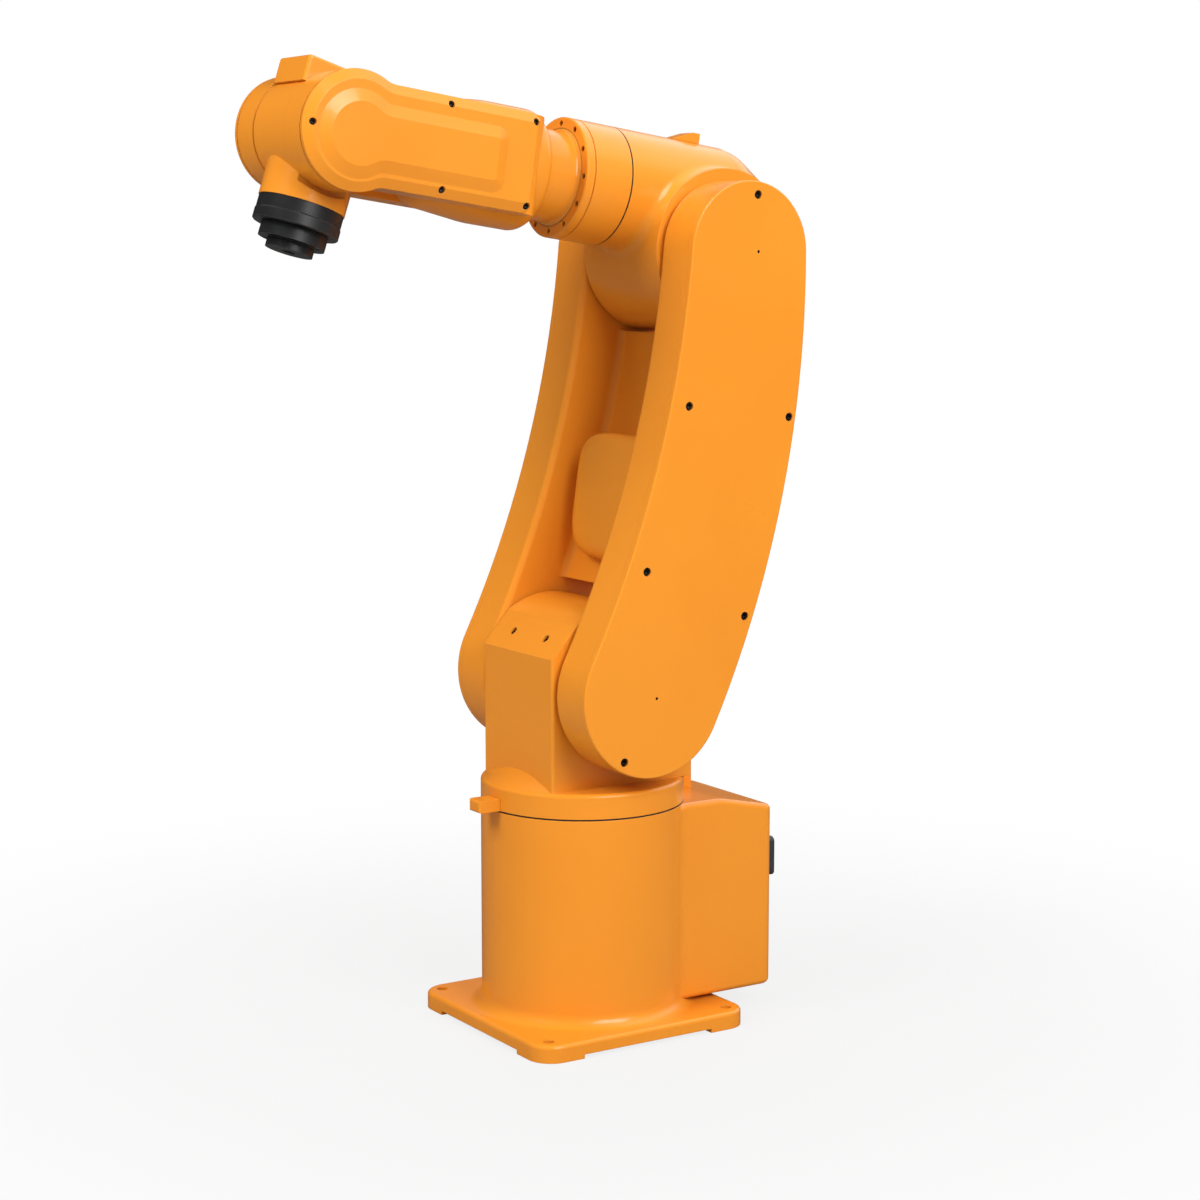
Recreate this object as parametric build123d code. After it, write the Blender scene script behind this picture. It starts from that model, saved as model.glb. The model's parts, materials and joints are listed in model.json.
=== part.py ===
"""Six-axis industrial robot arm: cast base, turntable, forked upper arm, elbow, forearm yoke, wrist.

Millimetres, +Z up, +X the way the arm reaches, origin on the floor under the swivel axis.
Each link is drawn straight in a frame of its own and then set at the angles of the stored pose.
"""
from build123d import *
import math
import os

# Stored pose, degrees
ARM_LEAN = 15.3          # upper arm leans back from vertical
FOREARM_TILT = 8.3       # forearm points up from level
WRIST_BEND = 80.0        # flange axis turned down from the forearm axis

# Joint axes
SHOULDER_Z = 337.0       # shoulder axis above the floor
SHOULDER_X = -8.0        # shoulder axis from the swivel axis
ARM_LENGTH = 433.0       # shoulder axis to elbow axis
ROLL_RISE = 47.0         # forearm roll axis above the elbow axis
WRIST_X = 408.0          # wrist axis ahead of the elbow axis, along the roll axis

# Running gaps and seats
SEAT_GAP = 0.3           # between a hub and the face that turns on it
SEAM = 1.5               # open seam between two links that turn on each other
SIDE_GAP = 2.5           # between a fork's cheek and what it straddles
CURVED_FIT = 0.1         # between a piece and the round face that it is seated on
YOKE_CLEAR = 5.0         # between the yoke's round ends and the wrist's tube

# Base casting
PLATE_SIDE = 240.0
PLATE_THICK = 17.0
PLATE_CORNER_R = 25.0
PLATE_EDGE_R = 4.0
PAD_RELIEF = 4.0         # underside is relieved between four corner pads
PAD_SIZE = 47.0
BOLT_INSET = 17.5        # hole centre from the plate's edge
BOLT_HOLE_R = 5.5
COLUMN_R = 100.0
COLUMN_TOP = 219.5
COLUMN_FLARE = 12.0      # hollow flare where the column meets the plate
BOX_REAR_X = -182.0      # rear face of the terminal box
BOX_HALF_WIDTH = 73.0
BOX_TOP_FRONT = 218.5
BOX_TOP_REAR = 205.0
BOX_FLOOR_GAP = 4.0      # box hangs this far above the plate
BOX_BLEND_R = 22.0       # hollow blend between column and box
BOX_CORNER_R = 12.0
BOX_EDGE_R = 6.0
BOX_CREST_X = -119.0     # top is level to here and slopes down behind it
BOX_CREST_R = 60.0
PANEL_WIDTH = 116.0
PANEL_HEIGHT = 140.0
PANEL_THICK = 4.0
PANEL_CORNER_R = 8.0
PANEL_EDGE = 1.0
INLET_RISE = 30.0        # each inlet from the panel's middle

# Panel inlets
INLET_DEEP = 20.0
INLET_FLANGE = 4.0
INLET_CORNER_R = 5.0
POWER_LONG = 82.0
POWER_TALL = 40.0
POWER_WALL = 4.5
POWER_LIP_LONG = 14.0    # flange is this much longer and taller than the shell
POWER_LIP_TALL = 6.0
POWER_PEG_R = 3.0
POWER_PEG_LONG = 4.0
POWER_PEG_RISE = 13.0
SIGNAL_R = 17.0
SIGNAL_WALL = 3.5
SIGNAL_FLOOR = 8.0
SIGNAL_FLANGE = 44.0

# Turntable
RING_TOP = 245.0
RING_EDGE_R = 4.0
BEARING_R = 84.0
POST_FRONT_X = 74.0
POST_REAR_X = -86.0
POST_HALF_WIDTH = 64.0
POST_TOP_R = 82.0        # rounded head of the post, about the shoulder axis
POST_EDGE_R = 3.0
FACET_LOW_Z = 36.0       # service facet on the head, above the shoulder axis
FACET_HIGH_Z = 67.0
FACET_SLOPE = 48.0       # degrees from level
FACET_HOLE_Y = 30.0
FACET_HOLE_R = 4.0
FACET_HOLE_DEPTH = 14.0
FOOT_RISE = 13.0         # coned foot in front of the post
HEAD_REACH = math.hypot(POST_FRONT_X - SHOULDER_X, FACET_LOW_Z)   # shoulder axis to the facet's outer edge
STOP_TAB_WIDTH = 20.0
STOP_TAB_REACH = 123.0
STOP_TAB_HEIGHT = 12.0
STOP_TAB_EDGE_R = 2.5
STOP_BLOCK_WIDTH = 10.0
STOP_BLOCK_NEAR = 107.0  # swivel axis to the near face of the fixed stop
STOP_BLOCK_LONG = 20.0
STOP_BLOCK_TOP = 232.0
HUB_R = 60.0

# Upper arm fork
CHEEK_IN = POST_HALF_WIDTH + SIDE_GAP
CHEEK_OUT = 119.5        # outer face of the cheek covers
COVER_THICK = 8.0
COVER_EDGE_R = 1.5
CHEEK_EDGE_R = 6.0       # soft inner edge of each cheek
LOWER_END = (3.0, 1.0, 78.0)     # forward, up, radius, from the shoulder axis
UPPER_END = (9.0, -2.0, 66.0)    # forward, up, radius, from the elbow axis
FRONT_HOLLOW_R = 1050.0
BACK_BULGE_R = 980.0
WEB_FRONT_DEPTH = 54.0   # web set back from the cheeks' front edge
WEB_THICK = 32.0
WEB_CLEAR = 6.0          # web to the heads that turn inside the fork
WEB_BLEND_R = 8.0        # hollow blend between web and cheeks
COVER_SCREWS = [(15, 484), (38, 274), (-78, 291), (43, 114), (-79, 95), (20, -65)]   # forward, up
SCREW_RECESS_R = 4.2
SCREW_RECESS_DEPTH = 4.5
CENTRE_MARK_R = 1.5
CENTRE_MARK_DEPTH = 2.0
HOUSING_LOW = 119.0      # elbow motor housing, along the arm
HOUSING_HIGH = 242.0
HOUSING_FRONT = 50.0     # front face at the housing's top
HOUSING_FRONT_LEAN = 8.0     # degrees the front face falls back towards the shoulder
HOUSING_FAR_Y = -50.0
HOUSING_EDGE_R = 13.0

# Elbow
ELBOW_R = 79.0
ELBOW_HALF_WIDTH = POST_HALF_WIDTH
ELBOW_BLEND_R = 12.0     # hollow blend between knuckle and barrel
ROLL_R = 57.2            # elbow barrel and forearm drum
ROLL_SEAM_X = 110.0
ROLL_BEARING_STEP = 8.0
CAP_FRONT_X = -16.0
CAP_SHOULDER_X = -27.0
CAP_SHOULDER_R = 40.0
CAP_KNEE_X = -67.0
CAP_KNEE_R = 35.0
CAP_KNEE_ROUND = 8.0
CAP_REAR_X = -78.0
CAP_REAR_R = 26.0
CAP_SEAM = 1.0           # shallow step round the cap's rim
BOSS_REAR_X = 9.0
BOSS_FRONT_X = 39.0
BOSS_CREST = 8.0
BOSS_HEIGHT = 9.0
BOSS_WIDTH = 22.0

# Forearm
FLANGE_REAR_X = 151.0
FLANGE_FRONT_X = 161.0
FLANGE_EDGE = 1.2
FLANGE_BOLTS = 12
FLANGE_BOLT_CIRCLE_R = 51.0
FLANGE_RECESS_R = 2.8
FLANGE_RECESS_DEPTH = 5.0
NECK_R = 43.0
NECK_FLARE = 4.0
BODY_REAR_X = 194.0
BODY_R = 57.0
BODY_REAR_ROUND = 13.0
BODY_TAPER_X = 252.0     # belly narrows from here to the bottom of the yoke's slot
BODY_TAPER_ROUND = 120.0
BODY_FRONT_X = 318.0
BODY_FRONT_R = 50.0
BODY_FRONT_ROUND = 14.0
ARM_HALF_HEIGHT = 45.5
ARM_REAR_X = 208.0
ARM_REAR_ROUND = 22.0
ARM_END_R = 53.3
ARM_WAIST_R = 22.0
WRIST_HALF_WIDTH = 30.8
YOKE_IN = WRIST_HALF_WIDTH + SEAM
YOKE_COVER_Y = 65.0
YOKE_COVER_RIM = 68.6    # straight rim of the cover ends and its bevel starts
YOKE_COVER_FACE = 73.6
YOKE_COVER_REAR_X = 226.0
YOKE_COVER_CORNER_R = 9.0
YOKE_COVER_BEVEL = 9.0
YOKE_COVER_SCREWS = [(453, 0), (320, 38), (231, 37.5), (320, -38), (231, -39)]   # forward, up
YOKE_SCREW_R = 3.2
YOKE_SCREW_DEPTH = 5.0
GROOVE_WIDTH = 1.6       # shadow groove under the cover's rim
GROOVE_DEPTH = 3.0
PAD_TOP = 78.0           # outer face of the cover's raised panel
PAD_END_R = 39.0
PAD_HALF_HEIGHT = 30.0
PAD_WAIST_R = 14.0
PAD_REAR_X = 258.0
PAD_CORNER_R = 13.0
PAD_SLOPE = 11.0
PAD_DROP = 3.0           # panel sits this far below the middle of the cover
REAR_EDGE_R = 4.5        # rounding of the cover's rear edge

# Wrist and tool flange
WRIST_DRUM_R = 52.5
WRIST_HUB_R = 40.0
WRIST_TUBE_R = 39.6
TUBE_END_X = 68.0
HUMP_REACH = 56.0
HUMP_HALF_HEIGHT = 45.0
HUMP_SEAM = 32.0
HUMP_EDGE_R = 3.0
END_RING_R = 38.9
END_RING_X = 79.5
REDUCER_R = 39.5
REDUCER_X = 90.4
RIM_EDGE = 1.0
TOOL_R = 30.6
TOOL_FACE_X = 102.8
PILOT_R = 21.8
PILOT_X = 111.0
PILOT_BORE_R = 6.3
TOOL_BOLT_CIRCLE_R = 25.0
TOOL_BOLT_R = 2.5
TOOL_BOLT_DEPTH = 9.0
TOOL_BOLTS = 4


def side_plate(outline, y_low, y_high):
    """Solid between two side planes from an outline drawn as (forward, up)."""
    return Rot(90, 0, 0) * Pos(0, 0, -y_high) * extrude(outline, amount=y_high - y_low)


def cross_drum(radius, y_low, y_high, forward=0.0, up=0.0):
    """Round solid about an axis along Y."""
    return side_plate(Pos(forward, up) * Circle(radius), y_low, y_high)


def long_drum(radius, x_low, x_high, up=0.0):
    """Round solid about an axis along X."""
    return Pos(x_low, 0, up) * Rot(0, 90, 0) * extrude(Circle(radius), amount=x_high - x_low)


def block(low, high):
    """Box between two corners."""
    size = [h - l for l, h in zip(low, high)]
    centre = [(l + h) / 2 for l, h in zip(low, high)]
    return Pos(*centre) * Box(*size)


def bevelled_plate(outline, inset, y_low, y_high):
    """Plate whose sides slope in from the low face to the high face."""
    low_face = Rot(90, 0, 0) * Pos(0, 0, -y_low) * outline
    high_face = Rot(90, 0, 0) * Pos(0, 0, -y_high) * offset(outline, amount=-inset)
    return loft([low_face.face(), high_face.face()])


def rounded(profile, corner, radius):
    """Flat profile with the corner nearest to a point rounded."""
    return fillet(profile.vertices().sort_by_distance(corner)[0], radius)


def on_side(solid, side):
    """The solid itself on the left (+Y), or its mirror image on the right."""
    return solid if side > 0 else mirror(solid, Plane.XZ)


# Places of the links in the stored pose
SHOULDER = Pos(SHOULDER_X, 0, SHOULDER_Z)
UPPER_ARM = SHOULDER * Rot(0, -ARM_LEAN, 0)
ELBOW = UPPER_ARM * Pos(0, 0, ARM_LENGTH) * Rot(0, ARM_LEAN - FOREARM_TILT, 0)
FOREARM = ELBOW * Pos(0, 0, ROLL_RISE)
WRIST = FOREARM * Pos(WRIST_X, 0, 0) * Rot(0, WRIST_BEND, 0)

# Levels and seats that several pieces share
RING_BOTTOM = COLUMN_TOP + SEAM
BOX_BOTTOM = PLATE_THICK + BOX_FLOOR_GAP
PANEL_PLACE = Pos(BOX_REAR_X, 0, (BOX_BOTTOM + BOX_TOP_REAR) / 2) * Rot(0, -90, 0)
INLET_SEAT = PANEL_PLACE * Pos(0, 0, PANEL_THICK)


def terminal_box():
    """Box behind the column: a plan with hollow blends to the column, under a top that slopes to the rear."""
    plan = Circle(COLUMN_R) + Pos(BOX_REAR_X / 2, 0) * Rectangle(-BOX_REAR_X, 2 * BOX_HALF_WIDTH)
    plan = fillet(plan.vertices().group_by(Axis.X)[0], BOX_CORNER_R)
    plan = fillet(plan.vertices().group_by(Axis.X)[-1], BOX_BLEND_R)
    walls = Pos(0, 0, BOX_BOTTOM) * extrude(plan, amount=BOX_TOP_FRONT - BOX_BOTTOM)
    side = make_face(Polyline((0, BOX_BOTTOM), (0, BOX_TOP_FRONT), (BOX_CREST_X, BOX_TOP_FRONT),
                              (BOX_REAR_X, BOX_TOP_REAR), (BOX_REAR_X, BOX_BOTTOM), close=True))
    side = rounded(side, (BOX_CREST_X, BOX_TOP_FRONT), BOX_CREST_R)
    box = walls & side_plate(side, -COLUMN_R, COLUMN_R)
    sides = [face for face in box.faces() if abs(face.normal_at().Z) < 0.5 and face.center().X < -BOX_EDGE_R]
    rim = [edge for face in sides for edge in face.edges() if abs(edge.tangent_at(0.5).Z) < 0.5]
    return fillet(rim, BOX_EDGE_R)


def base_casting():
    half = PLATE_SIDE / 2
    plate = extrude(RectangleRounded(PLATE_SIDE, PLATE_SIDE, PLATE_CORNER_R), amount=PLATE_THICK)
    plate = fillet(plate.faces().sort_by(Axis.Z)[-1].edges(), PLATE_EDGE_R)
    relief = half - PAD_SIZE
    plate -= block((-half, -relief, 0), (half, relief, PAD_RELIEF))
    plate -= block((-relief, -half, 0), (relief, half, PAD_RELIEF))
    flare_top = PLATE_THICK + COLUMN_FLARE
    lean = COLUMN_FLARE * (1 - math.sqrt(0.5))
    profile = [
        Polyline((0, PLATE_THICK), (COLUMN_R + COLUMN_FLARE, PLATE_THICK)),
        ThreePointArc((COLUMN_R + COLUMN_FLARE, PLATE_THICK), (COLUMN_R + lean, PLATE_THICK + lean),
                      (COLUMN_R, flare_top)),
        Polyline((COLUMN_R, flare_top), (COLUMN_R, COLUMN_TOP), (0, COLUMN_TOP), (0, PLATE_THICK)),
    ]
    column = revolve(Rot(90, 0, 0) * make_face(profile), Axis.Z)
    casting = plate + column + terminal_box()
    hole = extrude(Circle(BOLT_HOLE_R), amount=PLATE_THICK)
    spacing = PLATE_SIDE - 2 * BOLT_INSET
    for place in GridLocations(spacing, spacing, 2, 2):
        casting -= place * hole
    return casting


def rear_panel():
    plate = extrude(RectangleRounded(PANEL_HEIGHT, PANEL_WIDTH, PANEL_CORNER_R), amount=PANEL_THICK)
    return PANEL_PLACE * chamfer(plate.faces().sort_by(Axis.Z)[-1].edges(), PANEL_EDGE)


def power_inlet():
    """Rectangular panel inlet with an open pin well, a screw flange and two latch pegs."""
    shell = extrude(RectangleRounded(POWER_TALL, POWER_LONG, INLET_CORNER_R), amount=INLET_DEEP)
    lip = RectangleRounded(POWER_TALL + POWER_LIP_TALL, POWER_LONG + POWER_LIP_LONG, INLET_CORNER_R)
    shell += extrude(lip, amount=INLET_FLANGE)
    well = Rectangle(POWER_TALL - 2 * POWER_WALL, POWER_LONG - 2 * POWER_WALL)
    shell -= Pos(0, 0, INLET_FLANGE) * extrude(well, amount=INLET_DEEP)
    peg = Rot(-90, 0, 0) * extrude(Circle(POWER_PEG_R), amount=POWER_PEG_LONG)
    peg = Pos(0, POWER_LONG / 2, POWER_PEG_RISE) * peg
    return INLET_SEAT * Pos(INLET_RISE, 0, 0) * (shell + peg + mirror(peg, Plane.XZ))


def signal_inlet():
    """Round panel inlet on a square flange."""
    flange = extrude(RectangleRounded(SIGNAL_FLANGE, SIGNAL_FLANGE, INLET_CORNER_R), amount=INLET_FLANGE)
    shell = extrude(Circle(SIGNAL_R), amount=INLET_DEEP)
    shell -= Pos(0, 0, SIGNAL_FLOOR) * extrude(Circle(SIGNAL_R - SIGNAL_WALL), amount=INLET_DEEP)
    return INLET_SEAT * Pos(-INLET_RISE, 0, 0) * (flange + shell)


def swivel_stop_block():
    stop = block((-STOP_BLOCK_NEAR - STOP_BLOCK_LONG, -STOP_BLOCK_WIDTH / 2, BOX_TOP_REAR),
                 (-STOP_BLOCK_NEAR, STOP_BLOCK_WIDTH / 2, STOP_BLOCK_TOP))
    return stop - terminal_box()


def swivel_bearing():
    return Pos(0, 0, COLUMN_TOP) * extrude(Circle(BEARING_R), amount=SEAM - SEAT_GAP)


def turntable_casting():
    ring = Pos(0, 0, RING_BOTTOM) * extrude(Circle(COLUMN_R), amount=RING_TOP - RING_BOTTOM)
    ring = fillet(ring.faces().sort_by(Axis.Z)[-1].edges(), RING_EDGE_R)
    cone = Pos(0, 0, RING_TOP) * Cone(COLUMN_R - RING_EDGE_R, POST_FRONT_X, FOOT_RISE,
                                      align=(Align.CENTER, Align.CENTER, Align.MIN))
    foot = cone & block((0, -POST_HALF_WIDTH, RING_TOP), (COLUMN_R, POST_HALF_WIDTH, RING_TOP + FOOT_RISE))
    front = POST_FRONT_X - SHOULDER_X
    rear = POST_REAR_X - SHOULDER_X
    low = RING_TOP - SHOULDER_Z
    run = (FACET_HIGH_Z - FACET_LOW_Z) / math.tan(math.radians(FACET_SLOPE))
    crest = (front - run, FACET_HIGH_Z)
    outline = Polyline((rear, 0), (rear, low), (front, low), (front, FACET_LOW_Z), crest)
    head = ThreePointArc(crest, (0, POST_TOP_R), (rear, 0))
    post = side_plate(make_face([outline, head]), -POST_HALF_WIDTH, POST_HALF_WIDTH)
    upright = [e for e in post.edges().filter_by(Axis.Z) if e.center().X > 0]
    post = fillet(upright, POST_EDGE_R)
    hole = extrude(Circle(FACET_HOLE_R), amount=FACET_HOLE_DEPTH, both=True)
    middle = ((front + crest[0]) / 2, (FACET_LOW_Z + FACET_HIGH_Z) / 2)
    for y in (-FACET_HOLE_Y, FACET_HOLE_Y):
        post -= Pos(middle[0], y, middle[1]) * Rot(0, 90 - FACET_SLOPE, 0) * hole
    return ring + foot + SHOULDER * post


def swivel_stop_tab():
    tab = block((COLUMN_R - STOP_TAB_HEIGHT, -STOP_TAB_WIDTH / 2, RING_BOTTOM),
                (STOP_TAB_REACH, STOP_TAB_WIDTH / 2, RING_BOTTOM + STOP_TAB_HEIGHT))
    tab = fillet(tab.faces().sort_by(Axis.X)[-1].edges(), STOP_TAB_EDGE_R)
    return tab - Pos(0, 0, RING_BOTTOM) * extrude(Circle(COLUMN_R + CURVED_FIT), amount=STOP_TAB_HEIGHT)


def shoulder_hub(side):
    return SHOULDER * on_side(cross_drum(HUB_R, POST_HALF_WIDTH, CHEEK_IN - SEAT_GAP), side)


def meeting_point(first, first_r, second, second_r):
    """Where two circles in the (forward, up) plane cross, the crossing further forward."""
    gap = math.dist(first, second)
    along = (first_r ** 2 - second_r ** 2 + gap ** 2) / (2 * gap)
    aside = math.sqrt(first_r ** 2 - along ** 2)
    unit = ((second[0] - first[0]) / gap, (second[1] - first[1]) / gap)
    return (first[0] + along * unit[0] + aside * unit[1], first[1] + along * unit[1] - aside * unit[0])


def toward(start, end, distance):
    """Point at a distance from start on the line to end."""
    length = math.dist(start, end)
    return tuple(s + (e - s) * distance / length for s, e in zip(start, end))


ARM_LOW = LOWER_END[:2]
ARM_HIGH = (UPPER_END[0], ARM_LENGTH + UPPER_END[1])
HOLLOW_CENTRE = meeting_point(ARM_LOW, FRONT_HOLLOW_R + LOWER_END[2], ARM_HIGH, FRONT_HOLLOW_R + UPPER_END[2])
BULGE_CENTRE = meeting_point(ARM_LOW, BACK_BULGE_R - LOWER_END[2], ARM_HIGH, BACK_BULGE_R - UPPER_END[2])


def arm_outline():
    """Side outline of the upper arm: two round ends, a hollow front edge and a bulging back edge."""
    front_low = toward(ARM_LOW, HOLLOW_CENTRE, LOWER_END[2])
    front_high = toward(ARM_HIGH, HOLLOW_CENTRE, UPPER_END[2])
    back_low = toward(ARM_LOW, BULGE_CENTRE, -LOWER_END[2])
    back_high = toward(ARM_HIGH, BULGE_CENTRE, -UPPER_END[2])
    middle = ((ARM_LOW[0] + ARM_HIGH[0]) / 2, (ARM_LOW[1] + ARM_HIGH[1]) / 2)
    return make_face([
        ThreePointArc(front_low, toward(HOLLOW_CENTRE, middle, FRONT_HOLLOW_R), front_high),
        ThreePointArc(front_high, (ARM_HIGH[0], ARM_HIGH[1] + UPPER_END[2]), back_high),
        ThreePointArc(back_high, toward(BULGE_CENTRE, middle, BACK_BULGE_R), back_low),
        ThreePointArc(back_low, (ARM_LOW[0], ARM_LOW[1] - LOWER_END[2]), front_low),
    ])


def arm_fork():
    """Two cheeks and the web between them, in the upper arm's own frame."""
    outline = arm_outline()
    cheek = side_plate(outline, CHEEK_IN, CHEEK_OUT - COVER_THICK)
    cheek = fillet(cheek.faces().sort_by(Axis.Y)[0].edges(), CHEEK_EDGE_R)
    web_front_r = FRONT_HOLLOW_R + WEB_FRONT_DEPTH
    band = Circle(web_front_r + WEB_THICK) - Circle(web_front_r)
    web = side_plate((Pos(*HOLLOW_CENTRE) * band) & outline, -CHEEK_IN, CHEEK_IN)
    web -= cross_drum(HEAD_REACH + WEB_CLEAR, -CHEEK_IN, CHEEK_IN)
    web -= cross_drum(ELBOW_R + WEB_CLEAR, -CHEEK_IN, CHEEK_IN, 0, ARM_LENGTH)
    web &= block((-COLUMN_R, -CHEEK_IN, 0), (COLUMN_R, CHEEK_IN, ARM_LENGTH))
    fork = cheek + mirror(cheek, Plane.XZ) + web
    along_web = [edge for edge in fork.edges() if abs(abs(edge.center().Y) - CHEEK_IN) < SEAM
                 and abs(edge.radius - web_front_r - WEB_THICK / 2) < WEB_THICK]
    return fillet(along_web, WEB_BLEND_R)


def upper_arm_casting():
    return UPPER_ARM * arm_fork()


def arm_cover(side):
    cover = side_plate(arm_outline(), CHEEK_OUT - COVER_THICK, CHEEK_OUT)
    cover = fillet(cover.faces().sort_by(Axis.Y)[-1].edges(), COVER_EDGE_R)
    for forward, up in COVER_SCREWS:
        cover -= cross_drum(SCREW_RECESS_R, CHEEK_OUT - SCREW_RECESS_DEPTH, CHEEK_OUT, forward, up)
    for up in (0, ARM_LENGTH):
        cover -= cross_drum(CENTRE_MARK_R, CHEEK_OUT - CENTRE_MARK_DEPTH, CHEEK_OUT, 0, up)
    return UPPER_ARM * on_side(cover, side)


def elbow_motor_housing():
    fall = (HOUSING_HIGH - HOUSING_LOW) * math.tan(math.radians(HOUSING_FRONT_LEAN))
    side = Polyline((-WEB_FRONT_DEPTH, HOUSING_LOW), (HOUSING_FRONT - fall, HOUSING_LOW),
                    (HOUSING_FRONT, HOUSING_HIGH), (-WEB_FRONT_DEPTH, HOUSING_HIGH), close=True)
    body = side_plate(make_face(side), HOUSING_FAR_Y, CHEEK_IN)
    rounded = body.faces().sort_by(Axis.X)[-1].edges() + body.faces().sort_by(Axis.Y)[0].edges()
    body = fillet(rounded, HOUSING_EDGE_R)
    body &= cross_drum(FRONT_HOLLOW_R + WEB_FRONT_DEPTH, HOUSING_FAR_Y, CHEEK_IN, *HOLLOW_CENTRE)
    return UPPER_ARM * (body - arm_fork())


def elbow_casting():
    """Knuckle across the fork and roll barrel over it, joined by a hollow blend."""
    width = ELBOW_HALF_WIDTH + 2 * ELBOW_BLEND_R
    knuckle = Rot(0, 90, 0) * cross_drum(ELBOW_R, -width, width)
    barrel = Pos(0, 0, ROLL_RISE) * Rot(180, 0, 0) * long_drum(ROLL_R, -2 * ELBOW_R, ROLL_SEAM_X - SEAM / 2)
    casting = knuckle + barrel
    casting = fillet([edge for edge in casting.edges() if edge.geom_type == GeomType.BSPLINE], ELBOW_BLEND_R)
    sides = (ELBOW_HALF_WIDTH, ROLL_RISE + ROLL_R)
    casting &= block((-2 * ELBOW_R, -sides[0], -ELBOW_R), (ROLL_SEAM_X, sides[0], sides[1]))
    behind = block((-3 * ELBOW_R, -sides[0], -ELBOW_R), (CAP_FRONT_X, sides[0], sides[1]))
    return ELBOW * (casting - (behind - cross_drum(ELBOW_R, -sides[0], sides[0])))


def elbow_rear_cap():
    rim = ROLL_R - CAP_SEAM
    profile = make_face(Polyline((CAP_FRONT_X, 0), (CAP_FRONT_X, rim), (CAP_SHOULDER_X, rim),
                                 (CAP_KNEE_X, CAP_KNEE_R), (CAP_REAR_X, CAP_REAR_R), (CAP_REAR_X, 0),
                                 close=True))
    profile = rounded(profile, (CAP_SHOULDER_X, rim), CAP_SHOULDER_R)
    profile = rounded(profile, (CAP_KNEE_X, CAP_KNEE_R), CAP_KNEE_ROUND)
    cap = Pos(0, 0, ROLL_RISE) * revolve(profile, Axis.X)
    return ELBOW * (cap - cross_drum(ELBOW_R + CURVED_FIT, -ELBOW_HALF_WIDTH, ELBOW_HALF_WIDTH))


def elbow_top_boss():
    top = ROLL_RISE + ROLL_R
    wedge = Polyline((BOSS_REAR_X, ROLL_RISE + ROLL_R / 2), (BOSS_REAR_X, top + BOSS_HEIGHT),
                     (BOSS_REAR_X + BOSS_CREST, top + BOSS_HEIGHT), (BOSS_FRONT_X, top),
                     (BOSS_FRONT_X, ROLL_RISE + ROLL_R / 2), close=True)
    boss = side_plate(make_face(wedge), -BOSS_WIDTH / 2, BOSS_WIDTH / 2)
    return ELBOW * (boss - long_drum(ROLL_R + CURVED_FIT, BOSS_REAR_X, BOSS_FRONT_X, ROLL_RISE))


def elbow_hub(side):
    return ELBOW * on_side(cross_drum(HUB_R, ELBOW_HALF_WIDTH, CHEEK_IN - SEAT_GAP), side)


def roll_bearing():
    low = ROLL_SEAM_X - SEAM / 2
    return ELBOW * long_drum(ROLL_R - ROLL_BEARING_STEP, low, low + SEAM - SEAT_GAP, ROLL_RISE)


def forearm_drum():
    return FOREARM * long_drum(ROLL_R, ROLL_SEAM_X + SEAM / 2, FLANGE_REAR_X)


def forearm_flange_ring():
    ring = long_drum(ROLL_R, FLANGE_REAR_X, FLANGE_FRONT_X)
    ring = chamfer(ring.edges(), FLANGE_EDGE)
    recess = long_drum(FLANGE_RECESS_R, FLANGE_FRONT_X - FLANGE_RECESS_DEPTH, FLANGE_FRONT_X)
    for step in range(FLANGE_BOLTS):
        ring -= Rot(360 * step / FLANGE_BOLTS, 0, 0) * Pos(0, 0, FLANGE_BOLT_CIRCLE_R) * recess
    return FOREARM * ring


def keyhole(rear_x, end_r, half_height, waist_r, rear_r):
    """Outline of a round end about the wrist axis on a straight shank, with hollow waists."""
    shank = Pos((rear_x + WRIST_X) / 2, 0) * Rectangle(WRIST_X - rear_x, 2 * half_height)
    outline = shank + Pos(WRIST_X, 0) * Circle(end_r)
    by_x = outline.vertices().group_by(Axis.X)
    outline = fillet(by_x[-1], waist_r)
    return fillet(outline.vertices().group_by(Axis.X)[0], rear_r)


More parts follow.
